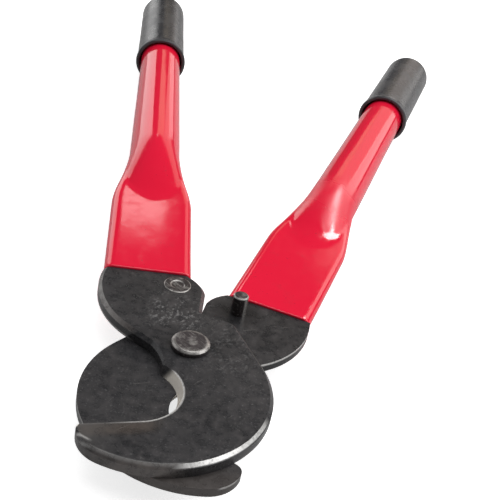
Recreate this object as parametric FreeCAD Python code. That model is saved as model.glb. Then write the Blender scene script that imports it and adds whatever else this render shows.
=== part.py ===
import FreeCAD, Part
import math
import os

from FreeCAD import Rotation, Vector

# Two-hand cable cutter. Two hooked shear blades are lapped face to face and turn on one bolt.
# Each blade carries a steel tube handle, pressed flat where it grips the blade's tang.
# Millimetres. X points to the right handle's side, Y towards the handles and Z up the pivot axis,
# towards the bolt head. The finished cutter's origin is the middle of the bolt head's top face.
# Each piece is drawn from the pivot axis and the shear plane, where the two blades slide past
# each other, and build() then moves them all down together to the origin's height.
# The upper blade lies above the shear plane, holds the left handle and bites on the right.
# The lower half is the upper half turned half a turn about the shear plane's Y, apart from its
# stop pin's place.

# ---- blades ----
PLATE = 6.0                      # blade thickness, from the shear plane to the outer face
SHEAR_GAP = 0.05                 # half of the running gap between the blades
EDGE_BEVEL = 1.7                 # bevel around the outer face
JAW_CENTRE = (-9.5, -29.5)       # round back of the jaw
JAW_RADIUS = 51.2
NOSE_RADIUS = 16.0               # jaw tip, blended inside the jaw's back
NOSE_ANGLE = 255.0               # where the back runs into the nose
GULLET_CENTRE = (-17.9, -34.9)   # concave cutting edge
GULLET_RADIUS = 19.4
THROAT_ANGLE = 61.0              # where the gullet ends, at the corner below the neck
HOOK_SLOPE = 22.5                # straight part of the cutting edge, from the gullet to the tip
GRIND = 2.2                      # how far the cutting edge's ground wall leans back
RELIEF_DEPTH = 1.0               # shallow hollow that thins the jaw towards its cutting edge
RELIEF_WIDTH = 11.0
NECK_TOP = (-17.2, -3.4)         # where the heel's straight side meets the hollowed neck
NECK_MIDDLE = (-12.9, -8.2)      # point on the neck's hollow, beside the pivot
HEEL_CENTRE = (-7.2, 41.8)       # round shoulder of the blade below the handle
HEEL_END_ANGLE = 239.3
SHOULDER = (16.4, 24.7)          # corner between the neck and the jaw's back
NOTCH = (0.6, 27.2)              # inner corner between the ear and the neck
EAR_SIDE = (-0.6, 43.0)          # top of the ear's stopping flank
EAR_CROWN = (-3.2, 48.4)         # point on the ear's rounded crown
TIP_ROUND = 4.5                  # corner roundings, seen from above
SHOULDER_ROUND = 3.5
NOTCH_ROUND = 1.8
NECK_ROUND = 6.0
THROAT_ROUND = 3.0
EAR_ROUND = 3.0

# ---- handles ----
HALF_ANGLE = 10.4                # each handle's lean from Y, in the rest position
MOUTH = (-30.3, 50.0)            # centre of the left socket's mouth
SOCKET_HALF_WIDTH = 21.2
SOCKET_HALF_HEIGHT = 4.2
SHOULDER_START = 64.0            # the flat socket begins to narrow here
SHOULDER_END = 118.0             # and is inside the round tube here
SHOULDER_NARROWING = 7.6
DOME_START = 54.0                # the tube's top rises out of the flat socket from here
DOME_HALF_HEIGHT = 3.2
DOME_EXTRA_WIDTH = 3.0           # the half-flattened tube is this much wider each side
DOME_WIDE_END = 80.0
SHOULDER_SECTIONS = 7            # sections that shape the narrowing socket
DOME_SECTIONS = 9                # sections that shape the half-flattened tube
TUBE_START = 122.0               # the handle is round from here
TAPER_END = 249.0
TUBE_END = 333.0
TUBE_RADIUS_LOW = 14.2
TUBE_RADIUS_TOP = 12.7
WALL = 1.5
FIT_GAP = 0.05                   # gap between a part and the hole that locates it
TANG_LENGTH = 52.0               # how far the blade's tang reaches into the socket
TANG_OVERLAP = 3.0               # how far the tang is rooted in the blade's plate
RIVET_RADIUS = 3.0
RIVET_STATIONS = (15.0, 40.0)    # distance of each tang rivet from the socket's mouth

# ---- grip caps ----
CAP_START = 249.0                # open rim of the cap, measured along the handle
CAP_END = 336.8
CAP_RADIUS = 15.2                # just above the lip
CAP_TOP_RADIUS = 14.6
CAP_LIP_RADIUS = 16.1
CAP_RIM_BEVEL = (0.5, 0.8)       # across and along the rim's outer corner
CAP_RIM_FLAT = 1.8               # where the lip starts to run down to the barrel
CAP_LIP = 5.0                    # length of the flared lip
CAP_LIP_GAP = 1.0                # open gap around the tube inside the lip
CAP_CORNER = 7.0                 # rounding of the closed end

# ---- pivot ----
BOLT_HEAD_RADIUS = 8.8
BOLT_HEAD_TOP = 8.9
BOLT_HEAD_BEVEL = 1.0
BOLT_NECK = 11.0                 # square neck that keys the bolt in the upper blade
BOLT_SHANK_RADIUS = 5.5
BOLT_THREAD_RADIUS = 5.0
BOLT_END = -18.2
BOLT_POINT = 0.8                 # bevel at the end of the thread
BUSHING_RADIUS = 7.5
WASHER_RADIUS = 11.0
WASHER_THICKNESS = 1.5
WASHER_CLEARANCE = 0.6           # around the thread
SPRING_RADIUS = 10.0
SPRING_THICKNESS = 0.8
SPRING_RISE = 0.5
SPRING_CLEARANCE = 0.3           # around the thread
NUT_FLATS = 17.0
NUT_BODY = 6.2
NUT_COLLAR = 2.0
NUT_COLLAR_RADIUS = 7.6
NUT_COLLAR_ROUND = 0.8           # rolled-over edge of the collar
NUT_END_FLAT = 0.2               # the nut's end faces are this much smaller than its flats
NUT_BEVEL_SLOPE = 30.0
INSERT_RADIUS = 6.4
INSERT_HEIGHT = 1.6
INSERT_COVER = 0.3               # metal of the collar below the insert
STACK_GAP = 0.02                 # gap between neighbours in the pivot stack

# ---- stop pins ----
UPPER_PIN = (-14.6, 44.5)
LOWER_PIN = (16.4, 41.6)
PIN_RADIUS = 3.7
PIN_HEAD_RADIUS = 6.6
PIN_HEAD_THICKNESS = 1.8
PIN_PROUD = 0.3
PIN_REACH = 10.2                 # how far the free end stands beyond the shear plane
PIN_BEVEL = 0.6

LEAN = math.radians(HALF_ANGLE)
ALONG = Vector(-math.sin(LEAN), math.cos(LEAN), 0)     # left handle, away from the mouth
ACROSS = Vector(math.cos(LEAN), math.sin(LEAN), 0)     # left handle, towards the right
UP = Vector(0, 0, 1)
MID_PLANE = PLATE / 2


# ---------------------------------------------------------------- helpers

def polar(centre, radius, degrees):
    angle = math.radians(degrees)
    return Vector(centre[0] + radius * math.cos(angle), centre[1] + radius * math.sin(angle), 0)


def arc(centre, radius, start, end):
    """Arc edge in the XY plane, from one angle to another, in degrees."""
    middle = polar(centre, radius, (start + end) / 2)
    return Part.Arc(polar(centre, radius, start), middle, polar(centre, radius, end)).toShape()


def line(start, end):
    return Part.makeLine(start, end)


def smooth_step(value, start, end):
    """Smooth ramp from 0 at start to 1 at end."""
    share = min(max((value - start) / (end - start), 0.0), 1.0)
    return share * share * (3 - 2 * share)


def handle_point(station, across=0.0, height=0.0):
    """Point on the left handle: distance from the mouth, offset across and height off its axis."""
    base = Vector(MOUTH[0], MOUTH[1], MID_PLANE)
    return base + ALONG * station + ACROSS * across + UP * height


def half_turn(shape):
    """Turn a shape of the upper half about Y, which makes its twin in the lower half."""
    twin = shape.copy()
    twin.rotate(Vector(0, 0, 0), Vector(0, 1, 0), 180)
    return twin


def cylinder(radius, bottom, top, centre=(0, 0)):
    return Part.makeCylinder(radius, top - bottom, Vector(centre[0], centre[1], bottom))


def ring(outer, inner, bottom, top):
    return cylinder(outer, bottom, top).cut(cylinder(inner, bottom, top))


def revolved(corners):
    """Solid turned about Z from (radius, height) corners."""
    points = [Vector(radius, 0, height) for radius, height in corners]
    points.append(points[0])
    return Part.Face(Part.makePolygon(points)).revolve(Vector(0, 0, 0), UP, 360)


def edges_at(shape, place, tolerance=0.4):
    """Edges whose midpoint lies near the given place."""
    found = []
    for edge in shape.Edges:
        middle = edge.valueAt((edge.FirstParameter + edge.LastParameter) / 2)
        if middle.distanceToPoint(place) < tolerance:
            found.append(edge)
    return found


def stadium_wire(station, half_width, half_height):
    """Flat section with round edges, square to the left handle."""
    side = half_width - half_height
    top_left = handle_point(station, -side, half_height)
    top_right = handle_point(station, side, half_height)
    bottom_left = handle_point(station, -side, -half_height)
    bottom_right = handle_point(station, side, -half_height)
    return Part.Wire([
        line(top_left, top_right),
        Part.Arc(top_right, handle_point(station, half_width), bottom_right).toShape(),
        line(bottom_right, bottom_left),
        Part.Arc(bottom_left, handle_point(station, -half_width), top_left).toShape(),
    ])


# ---------------------------------------------------------------- blades

def blade_curves():
    """Angles and points of the blade outline, worked out from the driving dimensions."""
    curves = {}
    mouth = Vector(MOUTH[0], MOUTH[1], 0)
    curves["mouth_outer"] = mouth - ACROSS * SOCKET_HALF_WIDTH
    curves["mouth_inner"] = mouth + ACROSS * SOCKET_HALF_WIDTH
    heel_arm = curves["mouth_outer"] - Vector(HEEL_CENTRE[0], HEEL_CENTRE[1], 0)
    curves["heel_radius"] = heel_arm.Length
    curves["heel_start"] = math.degrees(math.atan2(heel_arm.y, heel_arm.x))
    curves["gullet_end"] = HOOK_SLOPE - 90
    # nose circle, inside the jaw's back and touching it
    nose = polar(JAW_CENTRE, JAW_RADIUS - NOSE_RADIUS, NOSE_ANGLE)
    curves["nose"] = (nose.x, nose.y)
    # the cutting edge's straight part meets the nose circle at the tip
    slope = math.radians(HOOK_SLOPE)
    run = Vector(-math.cos(slope), -math.sin(slope), 0)
    start = polar(GULLET_CENTRE, GULLET_RADIUS, curves["gullet_end"])
    offset = start - nose
    half = offset.dot(run)
    tip = start + run * (math.sqrt(half * half - offset.dot(offset) + NOSE_RADIUS ** 2) - half)
    curves["hook_run"] = run
    curves["hook_outward"] = Vector(-run.y, run.x, 0)
    curves["hook_start"] = start
    curves["tip"] = tip
    curves["nose_start"] = math.degrees(math.atan2(tip.y - nose.y, tip.x - nose.x)) % 360
    # straight shoulder that touches the jaw's back
    arm = Vector(SHOULDER[0] - JAW_CENTRE[0], SHOULDER[1] - JAW_CENTRE[1], 0)
    curves["jaw_end"] = (math.degrees(math.atan2(arm.y, arm.x))
                         - math.degrees(math.acos(JAW_RADIUS / arm.Length)))
    return curves


def blade_outline(curves):
    shoulder = Vector(SHOULDER[0], SHOULDER[1], 0)
    notch = Vector(NOTCH[0], NOTCH[1], 0)
    ear_side = Vector(EAR_SIDE[0], EAR_SIDE[1], 0)
    ear_crown = Vector(EAR_CROWN[0], EAR_CROWN[1], 0)
    neck_top = Vector(NECK_TOP[0], NECK_TOP[1], 0)
    neck_middle = Vector(NECK_MIDDLE[0], NECK_MIDDLE[1], 0)
    throat = polar(GULLET_CENTRE, GULLET_RADIUS, THROAT_ANGLE)
    edges = [
        arc(HEEL_CENTRE, curves["heel_radius"], curves["heel_start"], HEEL_END_ANGLE),
        line(polar(HEEL_CENTRE, curves["heel_radius"], HEEL_END_ANGLE), neck_top),
        Part.Arc(neck_top, neck_middle, throat).toShape(),
        arc(GULLET_CENTRE, GULLET_RADIUS, THROAT_ANGLE, curves["gullet_end"]),
        line(curves["hook_start"], curves["tip"]),
        arc(curves["nose"], NOSE_RADIUS, curves["nose_start"], NOSE_ANGLE),
        arc(JAW_CENTRE, JAW_RADIUS, NOSE_ANGLE, curves["jaw_end"] + 360),
        line(polar(JAW_CENTRE, JAW_RADIUS, curves["jaw_end"]), shoulder),
        line(shoulder, notch),
        line(notch, ear_side),
        Part.Arc(ear_side, ear_crown, curves["mouth_inner"]).toShape(),
        line(curves["mouth_inner"], curves["mouth_outer"]),
    ]
    return Part.Wire(Part.__sortEdges__(edges))


def gullet_cone(bottom, top, bottom_radius, top_radius):
    return Part.makeCone(bottom_radius, top_radius, top - bottom,
                         Vector(GULLET_CENTRE[0], GULLET_CENTRE[1], bottom))


def hook_wedge(curves, bottom, top, bottom_lean, top_lean):
    """Long prism over the straight cutting edge, leaning outward from bottom to top."""
    start = curves["hook_start"]
    outward = curves["hook_outward"]
    inside = outward * -1.0
    corners = [
        start + inside + UP * bottom,
        start + outward * bottom_lean + UP * bottom,
        start + outward * top_lean + UP * top,
        start + inside + UP * top,
        start + inside + UP * bottom,
    ]
    length = (curves["tip"] - start).Length + NOSE_RADIUS
    return Part.Face(Part.makePolygon(corners)).extrude(curves["hook_run"] * length)


def grinding_tools(curves):
    """Solids that take the ground wall and the shallow relief off the cutting edge."""
    top = PLATE + 1.0
    wall_lean = GRIND * top / PLATE
    relief_bottom = PLATE - RELIEF_DEPTH
    relief_lean = GRIND + RELIEF_WIDTH * (top - relief_bottom) / RELIEF_DEPTH
    return [
        gullet_cone(0.0, top, GULLET_RADIUS, GULLET_RADIUS + wall_lean),
        hook_wedge(curves, 0.0, top, 0.0, wall_lean),
        gullet_cone(relief_bottom, top, GULLET_RADIUS + GRIND, GULLET_RADIUS + relief_lean),
        hook_wedge(curves, relief_bottom, top, GRIND, relief_lean),
    ]


def rivet_holes(radius):
    return [cylinder(radius, MID_PLANE - 2 * SOCKET_HALF_HEIGHT, MID_PLANE + 2 * SOCKET_HALF_HEIGHT,
                     handle_point(station)) for station in RIVET_STATIONS]


def pin_pocket(centre):
    """Hole and flush head recess of a stop pin, in the upper blade's position."""
    hole = cylinder(PIN_RADIUS + FIT_GAP, -1.0, PLATE + 1.0, centre)
    floor = PLATE + PIN_PROUD - PIN_HEAD_THICKNESS
    recess = cylinder(PIN_HEAD_RADIUS + FIT_GAP, floor - STACK_GAP, PLATE + 1.0, centre)
    return hole.fuse(recess)


def blade(pin_centre, pivot_hole):
    """One blade in the upper position, with its tang, ground edge, pin pocket and pivot hole."""
    curves = blade_curves()
    plate = Part.Face(blade_outline(curves)).extrude(UP * (PLATE - SHEAR_GAP))
    plate.translate(UP * SHEAR_GAP)
    corners = (
        (curves["tip"], TIP_ROUND),
        (Vector(SHOULDER[0], SHOULDER[1], 0), SHOULDER_ROUND),
        (Vector(NOTCH[0], NOTCH[1], 0), NOTCH_ROUND),
        (Vector(NECK_TOP[0], NECK_TOP[1], 0), NECK_ROUND),
        (polar(GULLET_CENTRE, GULLET_RADIUS, THROAT_ANGLE), THROAT_ROUND),
        (Vector(EAR_SIDE[0], EAR_SIDE[1], 0), EAR_ROUND),
    )
    middle = UP * ((PLATE + SHEAR_GAP) / 2)
    for place, radius in corners:
        plate = plate.makeFillet(radius, edges_at(plate, place + middle))
    # the outline is smooth now, so the bevel runs on from the ear's flank all the way round
    flank = (Vector(EAR_SIDE[0], EAR_SIDE[1], 0) + Vector(NOTCH[0], NOTCH[1], 0)) / 2
    plate = plate.makeChamfer(EDGE_BEVEL, edges_at(plate, flank + UP * PLATE, 2.0))
    plate = plate.cut(grinding_tools(curves))
    tang_inset = WALL + FIT_GAP
    section = stadium_wire(-TANG_OVERLAP, SOCKET_HALF_WIDTH - tang_inset,
                           SOCKET_HALF_HEIGHT - tang_inset)
    tang = Part.Face(section).extrude(ALONG * (TANG_LENGTH + TANG_OVERLAP))
    plate = plate.fuse(tang).removeSplitter()
    return plate.cut(rivet_holes(RIVET_RADIUS + FIT_GAP) + [pin_pocket(pin_centre), pivot_hole])


# ---------------------------------------------------------------- handles

def shoulder_half_width(station):
    narrowed = smooth_step(station, SHOULDER_START, SHOULDER_END)
    return SOCKET_HALF_WIDTH - SHOULDER_NARROWING * narrowed


def dome_half_width(station):
    flattening = 1 - smooth_step(station, DOME_WIDE_END, TUBE_START)
    return TUBE_RADIUS_LOW + DOME_EXTRA_WIDTH * flattening


def dome_half_height(station):
    rise = smooth_step(station, DOME_START, TUBE_START)
    return DOME_HALF_HEIGHT + (TUBE_RADIUS_LOW - DOME_HALF_HEIGHT) * rise


def stations(start, end, count):
    """Evenly spaced distances along the handle, both ends included."""
    step = (end - start) / (count - 1)
    return [start + step * index for index in range(count)]


def oval_wire(station, half_width, half_height):
    centre = handle_point(station)
    if half_width - half_height < FIT_GAP:
        return Part.Wire(Part.Circle(centre, ALONG, half_height).toShape())
    oval = Part.Ellipse(handle_point(station, half_width), handle_point(station, 0, half_height),
                        centre)
    return Part.Wire(oval.toShape())


def handle_body(skin):
    """Solid handle, set in by skin all round: flat socket, half-flattened shoulder and tube."""
    past_end = 1.0 if skin else 0.0
    mouth = stadium_wire(-past_end, SOCKET_HALF_WIDTH - skin, SOCKET_HALF_HEIGHT - skin)
    socket = Part.Face(mouth).extrude(ALONG * (SHOULDER_START + past_end))
    shoulder = Part.makeLoft([
        stadium_wire(station, shoulder_half_width(station) - skin, SOCKET_HALF_HEIGHT - skin)
        for station in stations(SHOULDER_START, SHOULDER_END, SHOULDER_SECTIONS)], True)
    dome = Part.makeLoft([
        oval_wire(station, dome_half_width(station) - skin, dome_half_height(station) - skin)
        for station in stations(DOME_START, TUBE_START, DOME_SECTIONS)], True)
    taper = Part.makeCone(TUBE_RADIUS_LOW - skin, TUBE_RADIUS_TOP - skin, TAPER_END - TUBE_START,
                          handle_point(TUBE_START), ALONG)
    straight = Part.makeCylinder(TUBE_RADIUS_TOP - skin, TUBE_END + past_end - TAPER_END,
                                 handle_point(TAPER_END), ALONG)
    return dome.fuse([socket, shoulder, taper, straight])


def handle_tube():
    shell = handle_body(0.0).cut(handle_body(WALL))
    return shell.cut(rivet_holes(RIVET_RADIUS + FIT_GAP))


def tang_rivets():
    return Part.makeCompound([
        cylinder(RIVET_RADIUS, MID_PLANE - SOCKET_HALF_HEIGHT, MID_PLANE + SOCKET_HALF_HEIGHT,
                 handle_point(station)) for station in RIVET_STATIONS])


def grip_cap():
    """Moulded cap, drawn along Z from its rim and then laid on the handle's axis."""
    length = CAP_END - CAP_START
    bore = TUBE_RADIUS_TOP + 2 * FIT_GAP
    lip_bore = bore + CAP_LIP_GAP
    floor = TUBE_END - CAP_START + FIT_GAP
    bevel_across, bevel_along = CAP_RIM_BEVEL
    outside = revolved([
        (0, 0), (CAP_LIP_RADIUS - bevel_across, 0), (CAP_LIP_RADIUS, bevel_along),
        (CAP_LIP_RADIUS, CAP_RIM_FLAT), (CAP_RADIUS, CAP_LIP + CAP_LIP_GAP),
        (CAP_TOP_RADIUS, length), (0, length)])
    end_corner = [edge for edge in outside.Edges if edge.BoundBox.ZMin > length - FIT_GAP]
    outside = outside.makeFillet(CAP_CORNER, end_corner)
    inside = revolved([
        (0, -1), (lip_bore, -1), (lip_bore, CAP_LIP - CAP_LIP_GAP), (bore, CAP_LIP),
        (bore, floor), (0, floor)])
    cap = outside.cut(inside)
    cap.Placement = FreeCAD.Placement(handle_point(CAP_START), Rotation(UP, ALONG))
    return cap


# ---------------------------------------------------------------- pivot stack

def square_neck_hole():
    side = BOLT_NECK + 2 * FIT_GAP
    return Part.makeBox(side, side, PLATE + 2.0, Vector(-side / 2, -side / 2, -1.0))


def pivot_bolt():
    head = revolved([
        (0, PLATE + STACK_GAP), (BOLT_HEAD_RADIUS, PLATE + STACK_GAP),
        (BOLT_HEAD_RADIUS, BOLT_HEAD_TOP - BOLT_HEAD_BEVEL),
        (BOLT_HEAD_RADIUS - BOLT_HEAD_BEVEL, BOLT_HEAD_TOP), (0, BOLT_HEAD_TOP)])
    neck = Part.makeBox(BOLT_NECK, BOLT_NECK, PLATE,
                        Vector(-BOLT_NECK / 2, -BOLT_NECK / 2, SHEAR_GAP))
    shank_end = -PLATE - STACK_GAP
    thread = revolved([
        (0, BOLT_END), (BOLT_THREAD_RADIUS - BOLT_POINT, BOLT_END),
        (BOLT_THREAD_RADIUS, BOLT_END + BOLT_POINT), (BOLT_THREAD_RADIUS, shank_end),
        (0, shank_end)])
    shank = cylinder(BOLT_SHANK_RADIUS, shank_end, SHEAR_GAP + 1.0)
    return head.fuse([neck, shank, thread]).removeSplitter()


def stack_heights():
    """Top of each piece under the lower blade, going down."""
    washer_top = -PLATE - STACK_GAP
    spring_top = washer_top - WASHER_THICKNESS - STACK_GAP
    nut_top = spring_top - SPRING_THICKNESS - SPRING_RISE - STACK_GAP
    collar_top = nut_top - NUT_BODY
    return washer_top, spring_top, nut_top, collar_top


def disc_spring():
    top = stack_heights()[1]
    inner = BOLT_THREAD_RADIUS + SPRING_CLEARANCE
    return revolved([
        (inner, top), (SPRING_RADIUS, top - SPRING_RISE),
        (SPRING_RADIUS, top - SPRING_RISE - SPRING_THICKNESS), (inner, top - SPRING_THICKNESS)])


def lock_nut():
    nut_top, collar_top = stack_heights()[2:]
    corner_radius = NUT_FLATS / math.sqrt(3)
    corners = [polar((0, 0), corner_radius, 60 * index) for index in range(7)]
    hexagon = Part.Face(Part.makePolygon(corners)).extrude(UP * NUT_BODY)
    hexagon.translate(UP * collar_top)
    # turned shape that takes the sharp corners off both ends
    flat = NUT_FLATS / 2 - NUT_END_FLAT
    drop = (corner_radius - flat) * math.tan(math.radians(NUT_BEVEL_SLOPE))
    turned = revolved([
        (0, collar_top), (flat, collar_top), (corner_radius, collar_top + drop),
        (corner_radius, nut_top - drop), (flat, nut_top), (0, nut_top)])
    collar_bottom = collar_top - NUT_COLLAR
    collar = revolved([
        (0, nut_top), (NUT_COLLAR_RADIUS, nut_top),
        (NUT_COLLAR_RADIUS, collar_bottom + NUT_COLLAR_ROUND),
        (NUT_COLLAR_RADIUS - NUT_COLLAR_ROUND, collar_bottom), (0, collar_bottom)])
    nut = hexagon.common(turned).fuse(collar).removeSplitter()
    bore = cylinder(BOLT_THREAD_RADIUS + FIT_GAP, collar_bottom - 1.0, nut_top + 1.0)
    groove_bottom = collar_bottom + INSERT_COVER
    groove = cylinder(INSERT_RADIUS + STACK_GAP, groove_bottom - STACK_GAP,
                      groove_bottom + INSERT_HEIGHT + STACK_GAP)
    return nut.cut([bore, groove])


def lock_nut_insert():
    bottom = stack_heights()[3] - NUT_COLLAR + INSERT_COVER
    return ring(INSERT_RADIUS, BOLT_THREAD_RADIUS + STACK_GAP, bottom, bottom + INSERT_HEIGHT)


# ---------------------------------------------------------------- stop pins

def stop_pin(centre):
    """Headed pin in the upper blade's position; its free end stands below the shear plane."""
    head_top = PLATE + PIN_PROUD
    head_bottom = head_top - PIN_HEAD_THICKNESS
    pin = revolved([
        (0, -PIN_REACH), (PIN_RADIUS - PIN_BEVEL, -PIN_REACH), (PIN_RADIUS, PIN_BEVEL - PIN_REACH),
        (PIN_RADIUS, head_bottom), (PIN_HEAD_RADIUS, head_bottom),
        (PIN_HEAD_RADIUS, head_top - PIN_PROUD), (PIN_HEAD_RADIUS - PIN_PROUD, head_top),
        (0, head_top)])
    pin.translate(Vector(centre[0], centre[1], 0))
    return pin


# ---------------------------------------------------------------- the whole cutter

def build():
    """Every piece of the cutter at rest, by name."""
    lower_pin_above = (-LOWER_PIN[0], LOWER_PIN[1])
    round_hole = cylinder(BUSHING_RADIUS + FIT_GAP, -1.0, PLATE + 1.0)
    washer_top = stack_heights()[0]
    left_tube = handle_tube()
    left_rivets = tang_rivets()
    left_cap = grip_cap()
    pieces = {
        "upper_blade": blade(UPPER_PIN, square_neck_hole()),
        "lower_blade": half_turn(blade(lower_pin_above, round_hole)),
        "left_handle_tube": left_tube,
        "right_handle_tube": half_turn(left_tube),
        "left_grip_cap": left_cap,
        "right_grip_cap": half_turn(left_cap),
        "left_tang_rivets": left_rivets,
        "right_tang_rivets": half_turn(left_rivets),
        "pivot_bolt": pivot_bolt(),
        "pivot_bushing": ring(BUSHING_RADIUS, BOLT_SHANK_RADIUS + FIT_GAP, -PLATE + STACK_GAP,
                              -SHEAR_GAP - STACK_GAP),
        "thrust_washer": ring(WASHER_RADIUS, BOLT_THREAD_RADIUS + WASHER_CLEARANCE,
                              washer_top - WASHER_THICKNESS, washer_top),
        "disc_spring": disc_spring(),
        "lock_nut": lock_nut(),
        "lock_nut_insert": lock_nut_insert(),
        "upper_stop_pin": stop_pin(UPPER_PIN),
        "lower_stop_pin": half_turn(stop_pin(lower_pin_above)),
    }
    for shape in pieces.values():
        shape.translate(Vector(0, 0, -BOLT_HEAD_TOP))
    return pieces


if __name__ == "__main__":
    os.makedirs("parts", exist_ok=True)
    for name, shape in build().items():
        shape.exportStep(os.path.join("parts", name + ".step"))
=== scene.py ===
"""Looks of the cable cutter: forged blades, painted tube handles, moulded caps and fasteners.

Lengths are millimetres in this script and are turned into metres where a mesh or light is made.
Heights called "level" are measured from the shear plane, where the two blades meet.
"""
import math
from types import SimpleNamespace

import bmesh
import bpy
from mathutils import Matrix, Vector, noise


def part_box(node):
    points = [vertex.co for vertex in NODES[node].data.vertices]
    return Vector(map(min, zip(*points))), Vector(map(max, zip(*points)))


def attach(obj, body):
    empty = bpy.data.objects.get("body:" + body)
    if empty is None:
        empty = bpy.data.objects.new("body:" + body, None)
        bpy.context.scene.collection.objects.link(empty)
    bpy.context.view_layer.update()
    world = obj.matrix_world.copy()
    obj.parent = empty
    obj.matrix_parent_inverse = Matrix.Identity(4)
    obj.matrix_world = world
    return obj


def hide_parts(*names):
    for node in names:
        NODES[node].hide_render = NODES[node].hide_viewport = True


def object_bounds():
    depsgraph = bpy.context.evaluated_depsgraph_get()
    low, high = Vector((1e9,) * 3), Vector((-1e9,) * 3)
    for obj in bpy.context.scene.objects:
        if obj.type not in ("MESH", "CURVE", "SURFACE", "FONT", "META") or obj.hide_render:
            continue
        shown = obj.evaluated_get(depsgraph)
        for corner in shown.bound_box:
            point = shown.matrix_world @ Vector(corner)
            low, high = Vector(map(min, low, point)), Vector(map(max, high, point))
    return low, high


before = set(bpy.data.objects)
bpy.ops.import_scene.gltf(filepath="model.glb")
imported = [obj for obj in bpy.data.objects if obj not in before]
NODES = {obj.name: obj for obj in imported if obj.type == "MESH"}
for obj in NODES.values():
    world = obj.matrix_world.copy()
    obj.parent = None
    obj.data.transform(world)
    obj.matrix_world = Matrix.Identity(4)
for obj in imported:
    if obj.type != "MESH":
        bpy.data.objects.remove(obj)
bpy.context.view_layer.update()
MM = 0.001


def box_mm(node):
    """Lowest and highest corner of a node of the frame."""
    low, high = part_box(node)
    return low / MM, high / MM


def centre_xy(node):
    low, high = box_mm(node)
    return (low.x + high.x) / 2, (low.y + high.y) / 2


# height of the shear plane in the row frame, midway between the two blades' inner faces
SHEAR = (box_mm("upper_blade")[0].z + box_mm("lower_blade")[1].z) / 2

# ---- handle, as the frame has it but for the dome's start and the crease ----
# a station is a distance along the handle from its mouth
HALF_ANGLE = 10.4
MOUTH = (-30.3, 50.0)
AXIS_LEVEL = 3.0
SOCKET_HALF_WIDTH = 21.2
SOCKET_HALF_HEIGHT = 4.2
SHOULDER_START = 64.0
SHOULDER_END = 118.0
SHOULDER_NARROWING = 7.6
DOME_START = 57.0
DOME_HALF_HEIGHT = 3.2
DOME_EXTRA_WIDTH = 3.0
DOME_WIDE_END = 80.0
CREASE = {"left": 1.3, "right": 3.0}
CREASE_FADE = 14.0
TUBE_START = 122.0
TAPER_END = 249.0
TUBE_END = 333.0
TUBE_RADIUS_LOW = 14.2
TUBE_RADIUS_TOP = 12.7
WALL = 1.5
RING_POINTS = 144
# unevenness left by the press: its size along the surface, its swing and its middle
SWELL_SIZE = 26.0
SWELL = 0.10
SWELL_MIDDLE = 0.05

# ---- grip cap: a little shorter and rounder at its end than the frame's ----
CAP_START = 249.0
CAP_END = 336.2
CAP_RADIUS = 15.2
CAP_TOP_RADIUS = 14.6
CAP_LIP_RADIUS = 16.1
CAP_BORE = 12.8
CAP_LIP_BORE = 13.8
CAP_CORNER = 8.2

# ---- blade outline, as the frame has it ----
PLATE = 6.0
JAW_CENTRE = (-9.5, -29.5)
GULLET_CENTRE = (-17.9, -34.9)
GULLET_RADIUS = 19.4
HOOK_SLOPE = 22.5
HEEL_CENTRE = (-7.2, 41.8)

# ---- edges: angles in degrees, and the width of the rounding ----
SHARP_ANGLE = 35.0
ROUNDED_ANGLE = 24.0
FORGED_ROUNDING = 0.28
NUT_ROUNDING = 0.18

LEAN = math.radians(HALF_ANGLE)
ALONG = Vector((-math.sin(LEAN), math.cos(LEAN), 0))
ACROSS = Vector((math.cos(LEAN), math.sin(LEAN), 0))
UP = Vector((0, 0, 1))


# ---------------------------------------------------------------- meshes

def smooth_step(value, start, end):
    share = min(max((value - start) / (end - start), 0.0), 1.0)
    return share * share * (3 - 2 * share)


def smooth_max(first, second, reach):
    """The larger of two values, with a soft crease where they cross."""
    if reach <= 0:
        return max(first, second)
    overlap = max(reach - abs(first - second), 0) / reach
    return max(first, second) + overlap * overlap * reach / 4


def at_level(x, y, level):
    return Vector((x, y, level + SHEAR))


def finish_piece(name, mesh, body, replaces, material):
    """Put a mesh in the scene as a piece that rides on a body in place of the frame's nodes."""
    mesh.set_sharp_from_angle(angle=math.radians(SHARP_ANGLE))
    piece = bpy.data.objects.new(name, mesh)
    bpy.context.scene.collection.objects.link(piece)
    piece.data.materials.clear()
    piece.data.materials.append(material)
    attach(piece, body)
    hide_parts(*replaces)
    return piece


def ring_mesh(name, rings, joined=False):
    """Closed mesh through rings of points. The ends are filled, or joined to each other."""
    count = len(rings[0])
    points = [point * MM for ring in rings for point in ring]
    faces = []
    for index in range(len(rings) if joined else len(rings) - 1):
        here = index * count
        there = (index + 1) % len(rings) * count
        for spot in range(count):
            after = (spot + 1) % count
            faces.append((here + spot, here + after, there + after, there + spot))
    if not joined:
        last = (len(rings) - 1) * count
        faces.append(tuple(reversed(range(count))))
        faces.append(tuple(range(last, last + count)))
    mesh = bpy.data.meshes.new(name)
    mesh.from_pydata(points, [], faces)
    shape = bmesh.new()
    shape.from_mesh(mesh)
    bmesh.ops.recalc_face_normals(shape, faces=shape.faces)
    shape.to_mesh(mesh)
    shape.free()
    mesh.shade_smooth()
    return mesh


def half_turn(rings):
    """Rings of the lower half from those of the upper half."""
    return [[Vector((-p.x, p.y, 2 * SHEAR - p.z)) for p in ring] for ring in rings]


# ---------------------------------------------------------------- handle shape

def tube_radius(station):
    share = min(max((station - TUBE_START) / (TAPER_END - TUBE_START), 0.0), 1.0)
    return TUBE_RADIUS_LOW + (TUBE_RADIUS_TOP - TUBE_RADIUS_LOW) * share


def paddle_size(station):
    narrowed = smooth_step(station, SHOULDER_START, SHOULDER_END)
    return SOCKET_HALF_WIDTH - SHOULDER_NARROWING * narrowed, SOCKET_HALF_HEIGHT


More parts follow.
